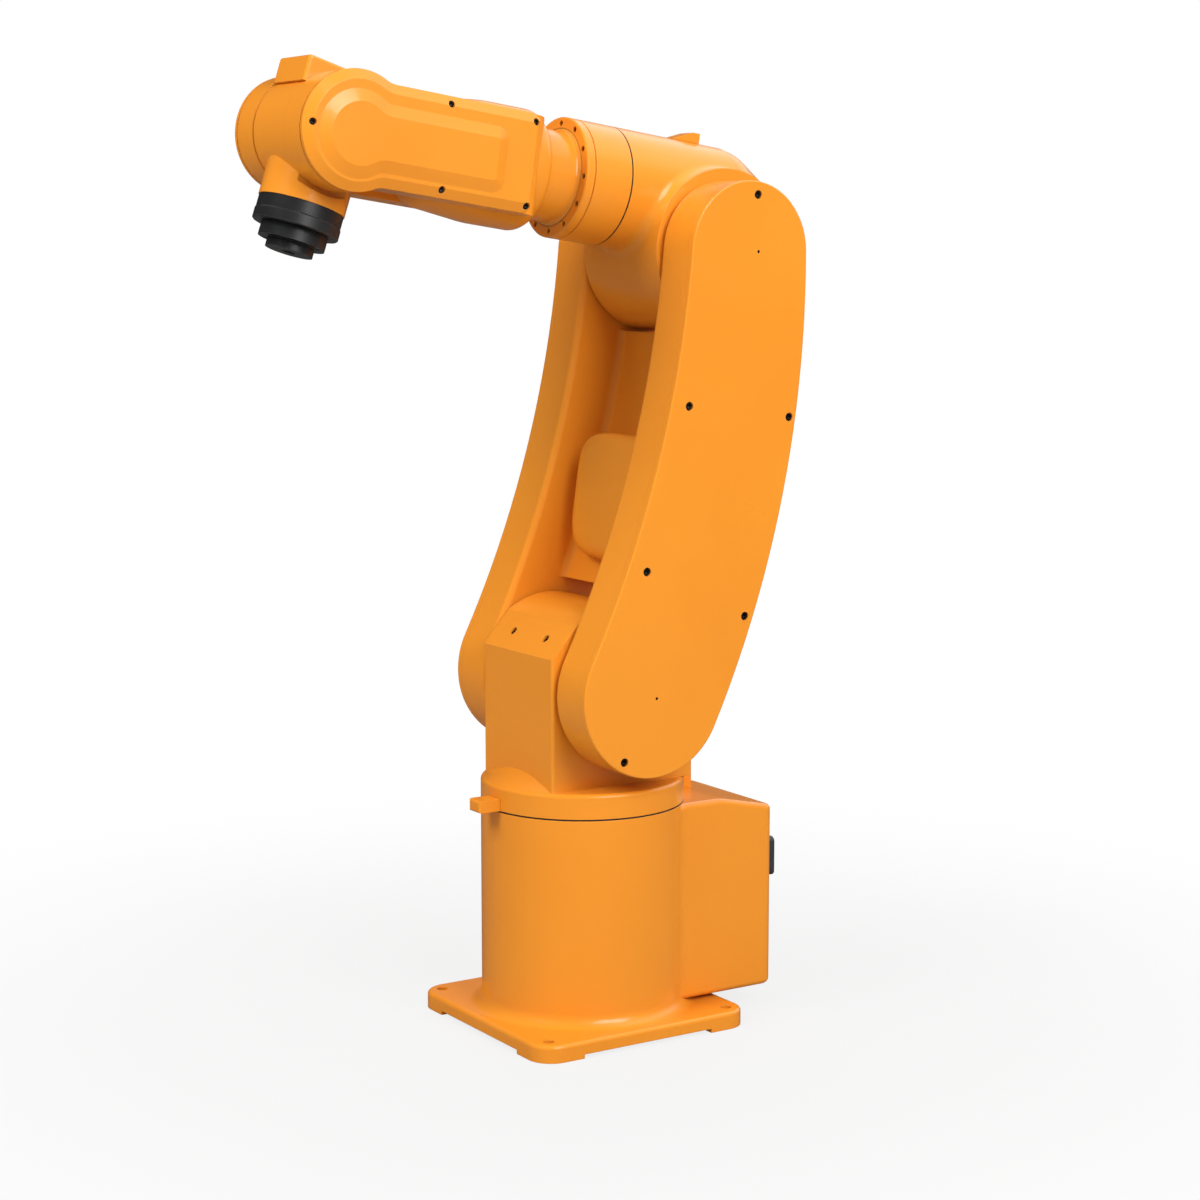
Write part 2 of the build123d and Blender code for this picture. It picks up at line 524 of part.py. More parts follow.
def forearm_casting():
    """Neck and tapered belly turned about the roll axis, with the yoke's two arms on its sides."""
    flare_x = FLANGE_FRONT_X + NECK_FLARE
    lean = NECK_FLARE * (1 - math.sqrt(0.5))
    profile = make_face([
        Polyline((BODY_FRONT_X, 0), (FLANGE_FRONT_X, 0), (FLANGE_FRONT_X, NECK_R + NECK_FLARE)),
        ThreePointArc((FLANGE_FRONT_X, NECK_R + NECK_FLARE), (FLANGE_FRONT_X + lean, NECK_R + lean),
                      (flare_x, NECK_R)),
        Polyline((flare_x, NECK_R), (BODY_REAR_X, NECK_R), (BODY_REAR_X, BODY_R), (BODY_TAPER_X, BODY_R),
                 (BODY_FRONT_X, BODY_FRONT_R), (BODY_FRONT_X, 0)),
    ])
    profile = rounded(profile, (BODY_REAR_X, BODY_R), BODY_REAR_ROUND)
    profile = rounded(profile, (BODY_TAPER_X, BODY_R), BODY_TAPER_ROUND)
    profile = rounded(profile, (BODY_FRONT_X, BODY_FRONT_R), BODY_FRONT_ROUND)
    body = revolve(profile, Axis.X)
    outline = keyhole(ARM_REAR_X, ARM_END_R, ARM_HALF_HEIGHT, ARM_WAIST_R, YOKE_COVER_CORNER_R)
    rear, front = ARM_REAR_X, WRIST_X + ARM_END_R
    inner, outer = YOKE_IN, YOKE_COVER_Y - GROOVE_WIDTH
    plan = make_face(Polyline((rear, inner), (rear, outer), (front, outer), (front, inner), close=True))
    plan = rounded(plan, (rear, outer), ARM_REAR_ROUND)
    arm = side_plate(outline, inner, outer) & Pos(0, 0, -ARM_END_R) * extrude(plan, amount=2 * ARM_END_R)
    seat = keyhole(YOKE_COVER_REAR_X + GROOVE_DEPTH, ARM_END_R - GROOVE_DEPTH, ARM_HALF_HEIGHT - GROOVE_DEPTH,
                   ARM_WAIST_R, YOKE_COVER_CORNER_R)
    arm += side_plate(seat, outer - GROOVE_WIDTH, YOKE_COVER_Y)
    return FOREARM * (body + arm + mirror(arm, Plane.XZ))


def forearm_cover(side):
    """Keyhole cover with a bevelled edge, a rounded rear edge and a raised panel with sloped sides."""
    outline = keyhole(YOKE_COVER_REAR_X, ARM_END_R, ARM_HALF_HEIGHT, ARM_WAIST_R, YOKE_COVER_CORNER_R)
    longer = keyhole(ARM_REAR_X, ARM_END_R, ARM_HALF_HEIGHT, ARM_WAIST_R,
                     YOKE_COVER_BEVEL + YOKE_COVER_CORNER_R)
    cover = side_plate(outline, YOKE_COVER_Y, YOKE_COVER_RIM)
    bevelled = bevelled_plate(longer, YOKE_COVER_BEVEL, YOKE_COVER_RIM, YOKE_COVER_FACE)
    rear, front = YOKE_COVER_REAR_X, WRIST_X + ARM_END_R
    plan = make_face(Polyline((rear, YOKE_COVER_RIM), (rear, YOKE_COVER_FACE), (front, YOKE_COVER_FACE),
                              (front, YOKE_COVER_RIM), close=True))
    plan = rounded(plan, (rear, YOKE_COVER_FACE), REAR_EDGE_R)
    bevelled &= Pos(0, 0, -ARM_END_R) * extrude(plan, amount=2 * ARM_END_R)
    cover += bevelled & side_plate(outline, YOKE_COVER_RIM, YOKE_COVER_FACE)
    pad = keyhole(PAD_REAR_X, PAD_END_R, PAD_HALF_HEIGHT, PAD_WAIST_R, PAD_CORNER_R)
    cover += Pos(0, 0, -PAD_DROP) * bevelled_plate(pad, PAD_SLOPE, YOKE_COVER_FACE, PAD_TOP)
    for forward, up in YOKE_COVER_SCREWS:
        cover -= cross_drum(YOKE_SCREW_R, YOKE_COVER_FACE - YOKE_SCREW_DEPTH, YOKE_COVER_FACE, forward, up)
    return FOREARM * on_side(cover, side)


def wrist_casting():
    drum = cross_drum(WRIST_DRUM_R, -WRIST_HALF_WIDTH, WRIST_HALF_WIDTH)
    drum -= block((-WRIST_DRUM_R, -WRIST_HALF_WIDTH, -WRIST_DRUM_R),
                  (-HUMP_SEAM, WRIST_HALF_WIDTH, WRIST_DRUM_R))
    tube = long_drum(WRIST_TUBE_R, 0, TUBE_END_X)
    beside = cross_drum(ARM_END_R + YOKE_CLEAR, WRIST_HALF_WIDTH, WRIST_TUBE_R)
    return WRIST * (drum + tube - beside - mirror(beside, Plane.XZ))


def wrist_motor_cover():
    hump = block((-HUMP_REACH, -WRIST_HALF_WIDTH, -HUMP_HALF_HEIGHT),
                 (-HUMP_SEAM, WRIST_HALF_WIDTH, HUMP_HALF_HEIGHT))
    rounded = hump.faces().sort_by(Axis.X)[0].edges() + hump.edges().filter_by(Axis.X)
    return WRIST * fillet(rounded, HUMP_EDGE_R)


def wrist_hub(side):
    hub = cross_drum(WRIST_HUB_R, WRIST_HALF_WIDTH, YOKE_IN - SEAT_GAP)
    hub -= block((-WRIST_HUB_R, WRIST_HALF_WIDTH, -WRIST_HUB_R), (-HUMP_SEAM, YOKE_IN, WRIST_HUB_R))
    return WRIST * on_side(hub, side)


def wrist_end_ring():
    return WRIST * long_drum(END_RING_R, TUBE_END_X, END_RING_X)


def reducer_ring():
    ring = long_drum(REDUCER_R, END_RING_X, REDUCER_X)
    return WRIST * chamfer(ring.edges(), RIM_EDGE)


def tool_flange():
    flange = long_drum(TOOL_R, REDUCER_X + SEAT_GAP, TOOL_FACE_X) + long_drum(PILOT_R, TOOL_FACE_X, PILOT_X)
    flange -= long_drum(PILOT_BORE_R, REDUCER_X, PILOT_X)
    tapped = long_drum(TOOL_BOLT_R, TOOL_FACE_X - TOOL_BOLT_DEPTH, TOOL_FACE_X)
    for step in range(TOOL_BOLTS):
        flange -= Rot(360 * (step + 0.5) / TOOL_BOLTS, 0, 0) * Pos(0, 0, TOOL_BOLT_CIRCLE_R) * tapped
    return WRIST * flange


LEFT, RIGHT = 1, -1
NODES = {
    "base_casting": base_casting,
    "rear_panel": rear_panel,
    "power_inlet": power_inlet,
    "signal_inlet": signal_inlet,
    "swivel_stop_block": swivel_stop_block,
    "swivel_bearing": swivel_bearing,
    "turntable_casting": turntable_casting,
    "swivel_stop_tab": swivel_stop_tab,
    "upper_arm_casting": upper_arm_casting,
    "elbow_motor_housing": elbow_motor_housing,
    "elbow_casting": elbow_casting,
    "elbow_rear_cap": elbow_rear_cap,
    "elbow_top_boss": elbow_top_boss,
    "roll_bearing": roll_bearing,
    "forearm_drum": forearm_drum,
    "forearm_flange_ring": forearm_flange_ring,
    "forearm_casting": forearm_casting,
    "wrist_casting": wrist_casting,
    "wrist_motor_cover": wrist_motor_cover,
    "wrist_end_ring": wrist_end_ring,
    "reducer_ring": reducer_ring,
    "tool_flange": tool_flange,
}
PAIRS = {
    "shoulder_hub": shoulder_hub,
    "arm_cover": arm_cover,
    "elbow_hub": elbow_hub,
    "forearm_cover": forearm_cover,
    "wrist_hub": wrist_hub,
}

os.makedirs("parts", exist_ok=True)
for name, make in NODES.items():
    export_step(make(), f"parts/{name}.step")
for name, make in PAIRS.items():
    export_step(make(LEFT), f"parts/{name}_left.step")
    export_step(make(RIGHT), f"parts/{name}_right.step")
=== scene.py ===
# %% [markdown]
# A six-axis robot arm in orange enamel, dressed for a studio picture. The castings, covers and flanges arrive as
# finished solids. They are painted here and not modelled again, apart from one motor housing, which gets a rounder
# form. What is left is what a paint shop and a fitter would add: enamel with a faint orange peel, black oxide on
# the tool flange, screws in their pockets, seals in the seams, threads in the tapped holes and pins in the inlets.
# The seals, the threads and the ground steel in the seams are near-black, which also paints the shade in the seams
# and holes.

# %% Load the frame
import json
import math

import bmesh
import bpy
from mathutils import Matrix, Vector


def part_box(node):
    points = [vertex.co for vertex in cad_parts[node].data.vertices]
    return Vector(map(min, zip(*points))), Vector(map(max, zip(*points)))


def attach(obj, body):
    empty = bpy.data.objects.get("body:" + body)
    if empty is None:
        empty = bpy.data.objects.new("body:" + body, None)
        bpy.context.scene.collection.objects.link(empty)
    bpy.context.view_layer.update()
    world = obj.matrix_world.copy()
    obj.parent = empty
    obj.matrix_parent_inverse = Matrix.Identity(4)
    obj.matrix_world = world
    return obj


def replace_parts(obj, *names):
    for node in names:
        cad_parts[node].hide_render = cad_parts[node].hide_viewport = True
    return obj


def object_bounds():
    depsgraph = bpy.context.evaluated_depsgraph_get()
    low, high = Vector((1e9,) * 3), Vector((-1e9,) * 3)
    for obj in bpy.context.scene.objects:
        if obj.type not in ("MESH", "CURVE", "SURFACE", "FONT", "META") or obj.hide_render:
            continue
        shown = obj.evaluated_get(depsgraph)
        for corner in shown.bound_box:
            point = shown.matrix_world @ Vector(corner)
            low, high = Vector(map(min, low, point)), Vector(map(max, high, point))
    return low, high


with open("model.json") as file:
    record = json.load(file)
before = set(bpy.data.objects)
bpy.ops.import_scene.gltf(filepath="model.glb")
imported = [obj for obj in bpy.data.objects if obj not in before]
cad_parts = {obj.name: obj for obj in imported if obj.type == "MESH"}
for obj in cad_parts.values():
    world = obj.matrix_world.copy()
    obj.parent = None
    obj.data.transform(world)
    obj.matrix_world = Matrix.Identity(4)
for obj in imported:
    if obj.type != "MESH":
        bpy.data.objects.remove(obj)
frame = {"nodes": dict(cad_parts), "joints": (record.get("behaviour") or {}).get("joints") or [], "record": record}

CAD_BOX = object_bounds()
MM = 0.001
print("size in metres:", [round(high - low, 3) for low, high in zip(*CAD_BOX)])

# %% [markdown]
# The camera. A picture's viewpoint can be found by eye or measured; here it was measured from the bolt
# holes and the round seams, which gives a place, a heading and a lens. A long lens this far away keeps
# the arm's lines calm. The arm reaches to the left of the frame, and the camera stands a little below the
# forearm.

# %% Camera
CAMERA_PLACE = Vector((1.3143, 2.08008, 0.76324))
CAMERA_HEADING = math.radians(-122.695)
CAMERA_PITCH = math.radians(-7.996)
CAMERA_LENS_MM = 76.36
SENSOR_MM = 36.0
ARM_MIDDLE = Vector((0.0, 0.0, 0.5))


def add_object(name, data):
    """New object with that data, linked into the scene."""
    thing = bpy.data.objects.new(name, data)
    bpy.context.scene.collection.objects.link(thing)
    return thing


def aim(thing, direction):
    """Turns a camera or a lamp, which look along their own -Z, to a direction."""
    thing.rotation_mode = "QUATERNION"
    thing.rotation_quaternion = direction.to_track_quat("-Z", "Y")


camera = add_object("camera", bpy.data.cameras.new("camera"))
camera.data.sensor_fit = "HORIZONTAL"
camera.data.sensor_width = SENSOR_MM
camera.data.lens = CAMERA_LENS_MM
camera.location = CAMERA_PLACE
aim(camera, Vector((math.cos(CAMERA_PITCH) * math.cos(CAMERA_HEADING),
                    math.cos(CAMERA_PITCH) * math.sin(CAMERA_HEADING),
                    math.sin(CAMERA_PITCH))))
bpy.context.scene.camera = camera
bpy.context.scene.view_settings.view_transform = "Standard"
print("camera", round((CAMERA_PLACE - ARM_MIDDLE).length, 2), "m from the arm")

# %% [markdown]
# Shader nodes can be wired by hand in the editor or by code. Code keeps every value where it can be read,
# but each node takes several lines. These helpers shorten that: a plain value is set on the socket that
# it is named for, and another node's socket in its place is linked to it.

# %% Node helpers
def feed(tree, socket, value):
    """Links an input to another node's output, or sets it to a plain value."""
    if isinstance(value, bpy.types.NodeSocket):
        tree.links.new(value, socket)
    else:
        socket.default_value = value


def set_inputs(tree, node, **values):
    """Feeds a node's inputs by name, with an underscore for each space; returns the node."""
    for name, value in values.items():
        feed(tree, node.inputs[name.replace("_", " ")], value)
    return node


def add_node(tree, kind, **values):
    """New shader node with its inputs fed by name."""
    return set_inputs(tree, tree.nodes.new(kind), **values)


def operate(tree, kind, operation, *values):
    """Math or VectorMath node on sockets or plain values; returns the node."""
    node = tree.nodes.new(f"ShaderNode{kind}")
    node.operation = operation
    for socket, value in zip(node.inputs, values):
        feed(tree, socket, value)
    return node


def math_node(tree, operation, first, second):
    """Sum, product or the like of two numbers; returns its output."""
    return operate(tree, "Math", operation, first, second).outputs["Value"]


def remap(tree, value, low, high, new_low=0.0, new_high=1.0):
    """Maps a value smoothly from one range to another, held at the ends; returns the output."""
    node = add_node(tree, "ShaderNodeMapRange", Value=value)
    node.interpolation_type = "SMOOTHSTEP"
    set_inputs(tree, node, From_Min=low, From_Max=high, To_Min=new_low, To_Max=new_high)
    return node.outputs["Result"]


# %% [markdown]
# The studio. The arm stands before a white sweep in a dim room. The sweep could be a curved sheet, but a
# world that mirrors show bright behind and above the arm, and dark elsewhere, does the same with less to
# build: the round tops get their pale sheen, and the faces towards the camera keep their full colour. The
# camera itself sees plain white. Light Path tells its rays from those of mirrors and of soft light.

# %% Studio helpers
def grey(level):
    """Opaque colour with that much of red, green and blue."""
    return (level, level, level, 1)


def clean_tree(owner):
    """Empty node tree of a world or a material."""
    owner.use_nodes = True
    owner.node_tree.nodes.clear()
    return owner.node_tree


def ray_kind(tree, kind):
    """1 for rays of that kind, such as Camera or Glossy, and 0 for all others."""
    return tree.nodes.new("ShaderNodeLightPath").outputs[f"Is {kind} Ray"]


def mix_shaders(tree, share, first, second):
    """Mix of two shader nodes by a share; returns the mixing node."""
    node = tree.nodes.new("ShaderNodeMixShader")
    for socket, value in zip(node.inputs, (share, first.outputs[0], second.outputs[0])):
        feed(tree, socket, value)
    return node


# %% World
WHITE = grey(1.0)
SOFT_LIGHT = 0.5
DARK_ROOM, WHITE_SWEEP = 0.03, 1.9
SWEEP_SIDE = Vector((-0.62, -0.12, 0.78)).normalized()
SWEEP_EDGE, SWEEP_FULL = 0.6, 0.92

world = bpy.data.worlds.new("studio room")
bpy.context.scene.world = world
tree = clean_tree(world)
outward = tree.nodes.new("ShaderNodeTexCoord").outputs["Generated"]
facing = operate(tree, "VectorMath", "DOT_PRODUCT", outward, SWEEP_SIDE).outputs["Value"]
graded = remap(tree, facing, SWEEP_EDGE, SWEEP_FULL, DARK_ROOM, WHITE_SWEEP)
soft = add_node(tree, "ShaderNodeBackground", Color=WHITE, Strength=SOFT_LIGHT)
mirrored = add_node(tree, "ShaderNodeBackground", Color=WHITE, Strength=graded)
shown = add_node(tree, "ShaderNodeBackground", Color=WHITE, Strength=1.0)
room = mix_shaders(tree, ray_kind(tree, "Glossy"), soft, mirrored)
room = mix_shaders(tree, ray_kind(tree, "Camera"), room, shown)
add_node(tree, "ShaderNodeOutputWorld", Surface=room.outputs[0])
print("soft light", SOFT_LIGHT, "mirrored from", DARK_ROOM, "to", WHITE_SWEEP)

# %% [markdown]
# The floor is matt white. Near the arm the camera sees part of its real light, so a soft shadow stays
# under the foot, and further out it turns to the plain white of the sweep, so no horizon shows from any
# side. Mirrors see it almost as dim as the room, because a bright floor would lay a pale veil over every
# glossy side.

# %% Floor
FLOOR_HALF_SIDE = 7.0
SHADOW_NEAR_M, SHADOW_FAR_M = 0.25, 1.1
WHITE_NEAR, WHITE_FAR = 0.82, 1.0
FLOOR_TONE, FLOOR_IN_MIRRORS = 0.4, 0.1


def mesh_object(name, built, material):
    """Object made from a built mesh, with one material."""
    data = bpy.data.meshes.new(name)
    built.to_mesh(data)
    built.free()
    data.materials.append(material)
    return add_object(name, data)


floor_paint = bpy.data.materials.new("white floor")
tree = clean_tree(floor_paint)
matt = add_node(tree, "ShaderNodeBsdfDiffuse", Color=grey(FLOOR_TONE))
dim = add_node(tree, "ShaderNodeBsdfDiffuse", Color=grey(FLOOR_IN_MIRRORS))
white = add_node(tree, "ShaderNodeEmission", Color=WHITE, Strength=1.0)
place = tree.nodes.new("ShaderNodeTexCoord").outputs["Object"]
away = operate(tree, "VectorMath", "LENGTH", place).outputs["Value"]
share = remap(tree, away, SHADOW_NEAR_M, SHADOW_FAR_M, WHITE_NEAR, WHITE_FAR)
in_view = math_node(tree, "MULTIPLY", share, ray_kind(tree, "Camera"))
lit = mix_shaders(tree, ray_kind(tree, "Glossy"), matt, dim)
seen = mix_shaders(tree, in_view, lit, white)
add_node(tree, "ShaderNodeOutputMaterial", Surface=seen.outputs[0])

sheet = bmesh.new()
bmesh.ops.create_grid(sheet, x_segments=1, y_segments=1, size=FLOOR_HALF_SIDE)
floor = mesh_object("floor", sheet, floor_paint)
floor.location.z = CAD_BOX[0][2]
print("floor at", round(floor.location.z, 4), "m")

# %% [markdown]
# Three soft boxes. One lamp would leave the recess between the cheeks black, and lamps all round would
# flatten the arm. The cover lamp faces the broad covers. A smaller one stands high in front: it lights
# the cheeks' front edges, and the forearm throws its shadow into the recess. The third fills the side
# that the camera doesn't see. The real arm's gloss shows only the sweep and the first box, so mirrors
# don't see the other two.

# %% Lamps
SOFT_BOXES = {
    "cover lamp": dict(place=(-0.2, 2.6, 2.2), side=1.8, watts=86, in_mirrors=True),
    "front lamp": dict(place=(2.3, 0.25, 2.5), side=1.2, watts=58, in_mirrors=False),
    "back lamp": dict(place=(-1.7, -2.3, 1.2), side=2.2, watts=56, in_mirrors=False),
}


def soft_box(name, place, side, watts, in_mirrors):
    """Square area lamp that faces the arm; mirrors can be kept from seeing it."""
    lamp = add_object(name, bpy.data.lights.new(name, "AREA"))
    lamp.data.shape = "SQUARE"
    lamp.data.size = side
    lamp.data.energy = watts
    lamp.location = place
    lamp.visible_glossy = in_mirrors
    aim(lamp, ARM_MIDDLE - Vector(place))


for name, settings in SOFT_BOXES.items():
    soft_box(name, **settings)
print("lamps:", [light.name for light in bpy.data.lights])

# %% [markdown]
# Effects that several finishes share are built once as node groups, like stamps with dials. Each one puts
# out a colour, a mask or a height. The shader stays in the material, where its sockets can be seen. Their
# patterns read object coordinates: every solid keeps its place in its own mesh, so the grain moves with
# its piece when a joint turns.

# %% Group maker
def start_group(name, inputs, outputs):
    """Empty shader group with named sockets; returns the tree and its two end nodes."""
    group = bpy.data.node_groups.new(name, "ShaderNodeTree")
    for direction, sockets in (("INPUT", inputs), ("OUTPUT", outputs)):
        for socket_name, (kind, value) in sockets.items():
            socket = group.interface.new_socket(
                socket_name, in_out=direction, socket_type=f"NodeSocket{kind}")
            if value is not None:
                socket.default_value = value
    return group, group.nodes.new("NodeGroupInput"), group.nodes.new("NodeGroupOutput")


def mix_colour(tree, share, first, second):
    """Colour mix on sockets or colours; returns its output."""
    node = tree.nodes.new("ShaderNodeMix")
    node.data_type = "RGBA"
    for socket_name, value in (("Factor", share), ("A", first), ("B", second)):
        feed(tree, next(s for s in node.inputs if s.name == socket_name and s.enabled), value)
    return next(s for s in node.outputs if s.enabled)


def noise(tree, scale, detail=2.0, roughness=0.5, vector=None):
    """Noise in object coordinates, or in a given vector; returns its value."""
    if vector is None:
        vector = tree.nodes.new("ShaderNodeTexCoord").outputs["Object"]
    node = add_node(tree, "ShaderNodeTexNoise", Vector=vector, Scale=scale, Detail=detail,
                    Roughness=roughness)
    return node.outputs["Fac"]


# %% [markdown]
# Tone drift. No sprayed or moulded surface has one flat tone: the coat's depth wanders slowly. A broad
# noise that blends two close colours shows that, and each finish sets its own pair.

# %% Group: tone drift
DRIFT_FROM, DRIFT_FULL = 0.35, 0.65


def make_tone_drift():
    """Slow change of tone over a sprayed or moulded surface."""
    group, given, result = start_group(
        "Tone drift",
        {"Color": ("Color", grey(0.8)), "Second Color": ("Color", grey(0.7)), "Scale": ("Float", 6.0)},
        {"Color": ("Color", None)})
    broad = noise(group, given.outputs["Scale"], detail=3)
    share = remap(group, broad, DRIFT_FROM, DRIFT_FULL)
    drifted = mix_colour(group, share, given.outputs["Color"], given.outputs["Second Color"])
    set_inputs(group, result, Color=drifted)
    return group


TONE_DRIFT = make_tone_drift()
print("group:", TONE_DRIFT.name)

# %% [markdown]
# Surface grain. Paint dries with a ripple and a mould leaves a fine skin. Real displacement would need
# far more faces, so a noise gives a height for the bump, and a second, broader one lets the gloss wander.

# %% Group: surface grain
PATCH_SCALE = 14.0
NOISE_MIDDLE = 0.5


def make_surface_grain():
    """Fine ripple of a sprayed coat or a moulded skin, with the change of gloss that goes with it."""
    group, given, result = start_group(
        "Surface grain",
        {"Scale": ("Float", 600.0), "Roughness": ("Float", 0.3), "Roughness Drift": ("Float", 0.08)},
        {"Height": ("Float", None), "Roughness": ("Float", None)})
    ripple = noise(group, given.outputs["Scale"], detail=1.5)
    patches = noise(group, PATCH_SCALE, detail=4, roughness=0.6)
    centred = math_node(group, "SUBTRACT", patches, NOISE_MIDDLE)
    swing = math_node(group, "MULTIPLY", centred, given.outputs["Roughness Drift"])
    rough = math_node(group, "ADD", given.outputs["Roughness"], swing)
    set_inputs(group, result, Height=ripple, Roughness=rough)
    return group


SURFACE_GRAIN = make_surface_grain()
print("group:", SURFACE_GRAIN.name)

# %% [markdown]
# Edge mask. Paint is thin on corners, and handling wears them first. The corners could be painted by
# hand, but a Bevel node finds them: where its rounded normal parts from the real one, there is an edge.
# Noise breaks the line.

# %% Group: edge mask
BEVEL_SAMPLES = 4
EDGE_FROM, EDGE_FULL = 0.99, 0.86
WEAR_SCALE = 90.0
WEAR_FROM, WEAR_FULL = 0.3, 0.7


def make_edge_mask():
    """Mask of the edges: where a rounded normal and the real one part, broken up by noise."""
    group, given, result = start_group(
        "Edge mask",
        {"Width": ("Float", 0.0015), "Break Up": ("Float", 0.5)},
        {"Mask": ("Float", None)})
    rounded = add_node(group, "ShaderNodeBevel", Radius=given.outputs["Width"])
    rounded.samples = BEVEL_SAMPLES
    real = group.nodes.new("ShaderNodeNewGeometry").outputs["Normal"]
    agree = operate(group, "VectorMath", "DOT_PRODUCT", rounded.outputs["Normal"], real).outputs["Value"]
    edge = remap(group, agree, EDGE_FROM, EDGE_FULL)
    broken = remap(group, noise(group, WEAR_SCALE, detail=4, roughness=0.65), WEAR_FROM, WEAR_FULL)
    lost = math_node(group, "MULTIPLY", broken, given.outputs["Break Up"])
    kept = math_node(group, "SUBTRACT", 1.0, lost)
    set_inputs(group, result, Mask=math_node(group, "MULTIPLY", edge, kept))
    return group


EDGE_MASK = make_edge_mask()
print("group:", EDGE_MASK.name)

# %% [markdown]
# Lathe lines. A turned part keeps the tool's fine circles, and they make its shine run across them. An
# anisotropic shader gives the shine alone. A noise over the distance from the axis and the place along it
# gives the circles themselves, as a height and as a mask.

# %% Group: lathe lines
LINE_FROM, LINE_FULL = 0.4, 0.62


def make_lathe_lines():
    """Fine circles that a lathe tool leaves round an axis, as a height and a mask."""
    group, given, result = start_group(
        "Lathe lines",
        {"Axis Point": ("Vector", (0, 0, 0)), "Axis": ("Vector", (0, 0, 1)), "Pitch": ("Float", 0.0004)},
        {"Height": ("Float", None), "Mask": ("Float", None)})
    place = group.nodes.new("ShaderNodeTexCoord").outputs["Object"]
    axis = given.outputs["Axis"]
    offset = operate(group, "VectorMath", "SUBTRACT", place, given.outputs["Axis Point"]).outputs["Vector"]
    along = operate(group, "VectorMath", "DOT_PRODUCT", offset, axis).outputs["Value"]
    across = operate(group, "VectorMath", "CROSS_PRODUCT", offset, axis).outputs["Vector"]
    reach = operate(group, "VectorMath", "LENGTH", across).outputs["Value"]
    track = add_node(group, "ShaderNodeCombineXYZ",
                     X=math_node(group, "DIVIDE", reach, given.outputs["Pitch"]),
                     Y=math_node(group, "DIVIDE", along, given.outputs["Pitch"]))
    lines = noise(group, 1.0, vector=track.outputs["Vector"])
    set_inputs(group, result, Height=lines, Mask=remap(group, lines, LINE_FROM, LINE_FULL))
    return group


LATHE_LINES = make_lathe_lines()
print("group:", LATHE_LINES.name)

# %% [markdown]
# Finishes. Each starts from the same four nodes: a Principled shader, a bump, a bevel that softens hard
# corners and an output. Constants sit on the shader's own sockets, and only what changes over the surface
# is linked. Every finish could be wired by itself, but they differ only in their settings and in which
# effects they have, so one maker takes these as named values.

# %% Finish maker
def start_finish(name, bump_depth, corner_radius, **shader_values):
    """Material with a Principled shader whose normal is a bump over softened corners."""
    material = bpy.data.materials.new(name)
    tree = clean_tree(material)
    corners = add_node(tree, "ShaderNodeBevel", Radius=corner_radius)
    corners.samples = BEVEL_SAMPLES
    bump = add_node(tree, "ShaderNodeBump", Strength=1.0, Distance=bump_depth,
                    Normal=corners.outputs["Normal"])
    shader = add_node(tree, "ShaderNodeBsdfPrincipled", Normal=bump.outputs["Normal"], **shader_values)
    add_node(tree, "ShaderNodeOutputMaterial", Surface=shader.outputs[0])
    return material, tree, shader, bump


def place_group(tree, group, **values):
    """Group node in a material, with its dials set by name."""
    node = tree.nodes.new("ShaderNodeGroup")
    node.node_tree = group
    return set_inputs(tree, node, **values)


def lay_over(tree, colour, mask, strength, second):
    """Blends a second colour over the first where a mask shows."""
    return mix_colour(tree, math_node(tree, "MULTIPLY", mask, strength), colour, second)


def make_finish(name, tones, tone_scale, grain, bump_depth, corner_radius, circles=None, wear=None,
                **shader_values):
    """Material from the shared effects: two tones and a grain, with circles and wear where given."""
    material, tree, shader, bump = start_finish(name, bump_depth, corner_radius, **shader_values)
    first, second = tones
    drift = place_group(tree, TONE_DRIFT, Color=first, Second_Color=second, Scale=tone_scale)
    colour = drift.outputs["Color"]
    ripple = place_group(tree, SURFACE_GRAIN, **grain)
    height = ripple.outputs["Height"]
    if circles:
        joint = circles["joint"]
        lines = place_group(tree, LATHE_LINES, Axis_Point=joint["pos_m"], Axis=joint["axis"],
                            Pitch=circles["pitch"])
        colour = lay_over(tree, colour, lines.outputs["Mask"], circles["strength"], circles["colour"])
        height = lines.outputs["Height"]
    if wear:
        edges = place_group(tree, EDGE_MASK, Width=wear["width"], Break_Up=wear["break_up"])
        colour = lay_over(tree, colour, edges.outputs["Mask"], wear["strength"], wear["colour"])
    set_inputs(tree, shader, Base_Color=colour, Roughness=ripple.outputs["Roughness"])
    set_inputs(tree, bump, Height=height)
    return material


# %% [markdown]
# Orange enamel covers every casting. On the real arm it is a thick two-pack coat: smooth, glossier than a
# matt primer, with a ripple of a millimetre or two and slightly thinner, paler paint on the corners. One
# flat orange would look like plastic, so the tone drifts by a few percent and the gloss with it.

# %% Orange enamel
ENAMEL_TONES = ((0.8, 0.276, 0.02, 1), (0.78, 0.26, 0.018, 1))
PANEL_TONES = ((0.78, 0.266, 0.019, 1), (0.76, 0.25, 0.017, 1))
THIN_PAINT = (1.0, 0.5, 0.14, 1)


def orange_enamel(name, tones, grain_scale, roughness):
    """Sprayed enamel that is paler on its corners."""
    return make_finish(
        name, tones, tone_scale=5.0, bump_depth=0.02 * MM, corner_radius=1.2 * MM,
        grain=dict(Scale=grain_scale, Roughness=roughness, Roughness_Drift=0.1),
        wear=dict(width=1.6 * MM, break_up=0.6, strength=0.18, colour=THIN_PAINT),
        Specular_IOR_Level=0.25, Coat_Weight=0.35, Coat_Roughness=0.14, Coat_IOR=1.5)


FINISHES = {
    "orange_paint": orange_enamel("orange enamel", ENAMEL_TONES, grain_scale=520.0, roughness=0.3),
    "panel_paint": orange_enamel("panel enamel", PANEL_TONES, grain_scale=900.0, roughness=0.38),
}
print("finishes:", [material.name for material in FINISHES.values()])

# %% [markdown]
# Black oxide on the wrist's rings and the tool flange. The steel is turned on a lathe and then blackened,
# so the tool's circles still show in the shine, and corners wear to grey. The circles follow the flange's
# own axis, which the record of the last joint gives.

